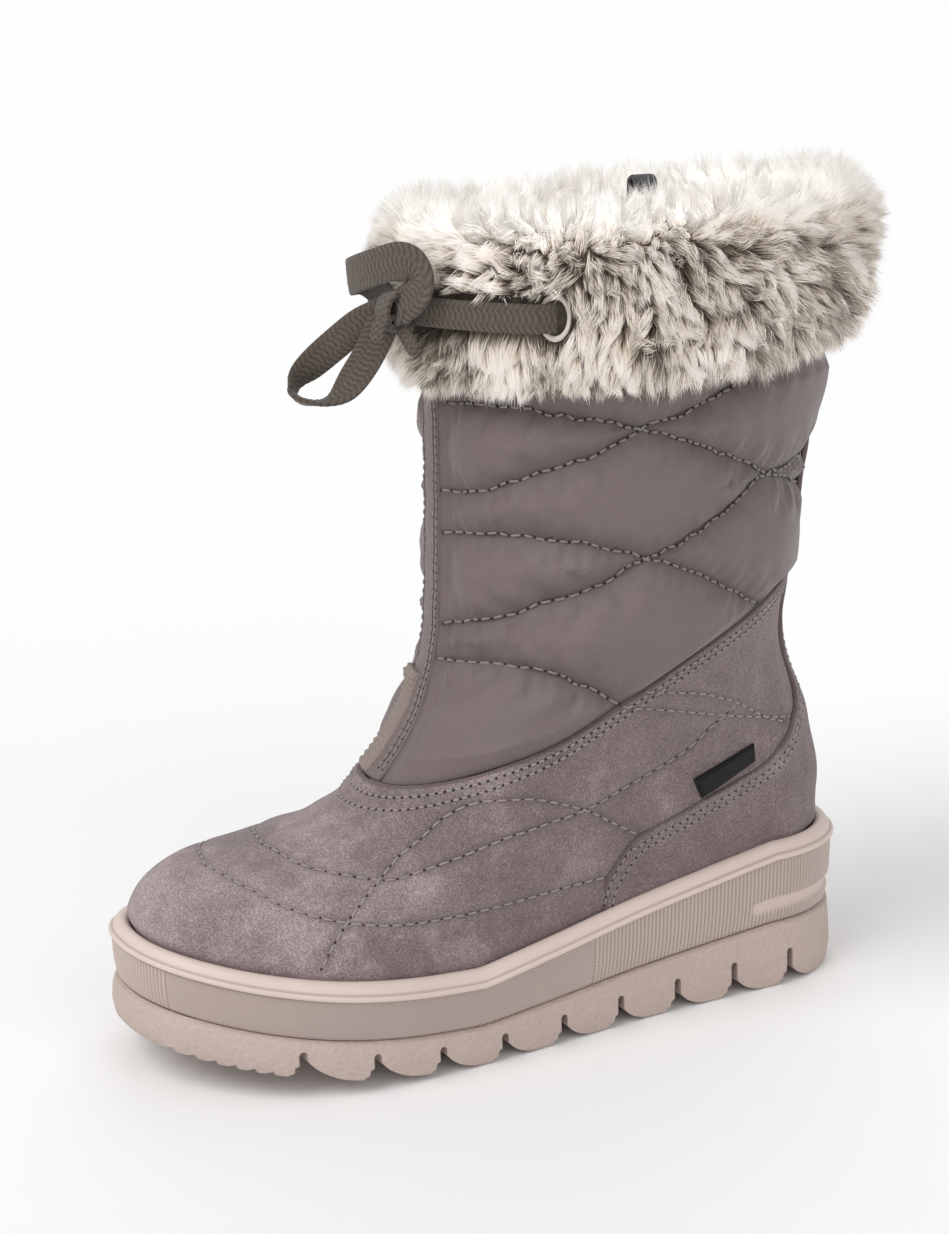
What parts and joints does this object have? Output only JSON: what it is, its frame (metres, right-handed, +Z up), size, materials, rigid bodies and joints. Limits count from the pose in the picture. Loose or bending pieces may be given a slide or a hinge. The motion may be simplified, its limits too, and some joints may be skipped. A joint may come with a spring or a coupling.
{
  "type": "snow boot",
  "caption": "Child's left pull-on snow boot: suede foot, quilted twill shaft, deep fur cuff drawn in by a flat tied lace, on a thick wedge sole with deep cross lugs.",
  "frame": {"origin": "on the floor under the middle of the heel, at the boot's centre line", "axes": "+Z up the leg, -Y towards the toe, +X towards the outer side of the left foot"},
  "size_m": [0.1254, 0.2439, 0.252],
  "materials": {
    "sole_foam": "satin",
    "tread_rubber": "matt",
    "felt": "matt",
    "suede": "napped",
    "twill": "satin",
    "fur": "deep pile",
    "webbing": "matt",
    "label_fabric": "matt",
    "eyelet_metal": "satin",
    "braid": "matt"
  },
  "bodies": {
    "root": {"midsole": "sole_foam", "outsole": "tread_rubber", "insole": "felt", "upper": "suede", "shaft": "twill", "heel_counter": "suede", "label_tab": "label_fabric", "fur_cuff": "fur", "pull_loop": "webbing", "eyelet_outer": "eyelet_metal", "eyelet_inner": "eyelet_metal", "lace_bar_outer": "braid", "lace_bar_inner": "braid", "lace_knot": "braid", "lace_loop_upper": "braid", "lace_loop_lower": "braid", "lace_end_front": "braid", "lace_end_back": "braid"}
  },
  "joints": []
}
